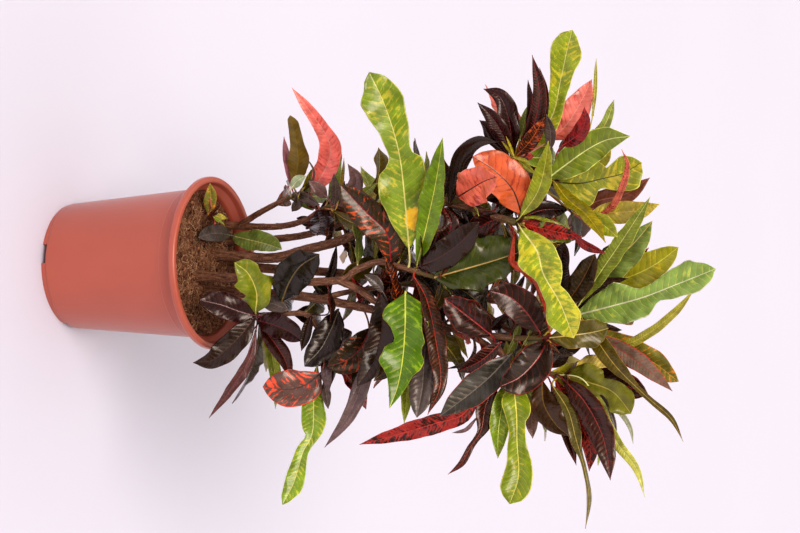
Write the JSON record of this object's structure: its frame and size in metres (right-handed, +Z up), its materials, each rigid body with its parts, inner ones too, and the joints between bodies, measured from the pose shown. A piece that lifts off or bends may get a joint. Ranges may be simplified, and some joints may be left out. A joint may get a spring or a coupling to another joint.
{
  "type": "potted croton",
  "caption": "Potted croton: woody stems with whorls of waisted, variegated leaves, rooted in potting mix in a round plastic nursery pot.",
  "frame": {"origin": "centre of the pot's underside, on the surface that the pot stands on", "axes": "+Z up along the pot's axis, -Y towards the front, where the picture was taken from, +X to the right seen from the front"},
  "size_m": [0.5758, 0.3361, 0.8469],
  "materials": {
    "pot": "satin",
    "potting_mix": "rough, fibrous",
    "foliage": "glossy"
  },
  "bodies": {
    "root": {"pot": "pot", "potting_mix": "potting_mix", "leafy_stem_left": "foliage", "leafy_stem_middle": "foliage", "leafy_stem_right": "foliage", "leafy_stem_back": "foliage", "leafy_stem_behind_left": "foliage", "leafy_stem_low_left": "foliage", "leafy_stem_low_right": "foliage", "low_shoot": "foliage"}
  },
  "joints": []
}
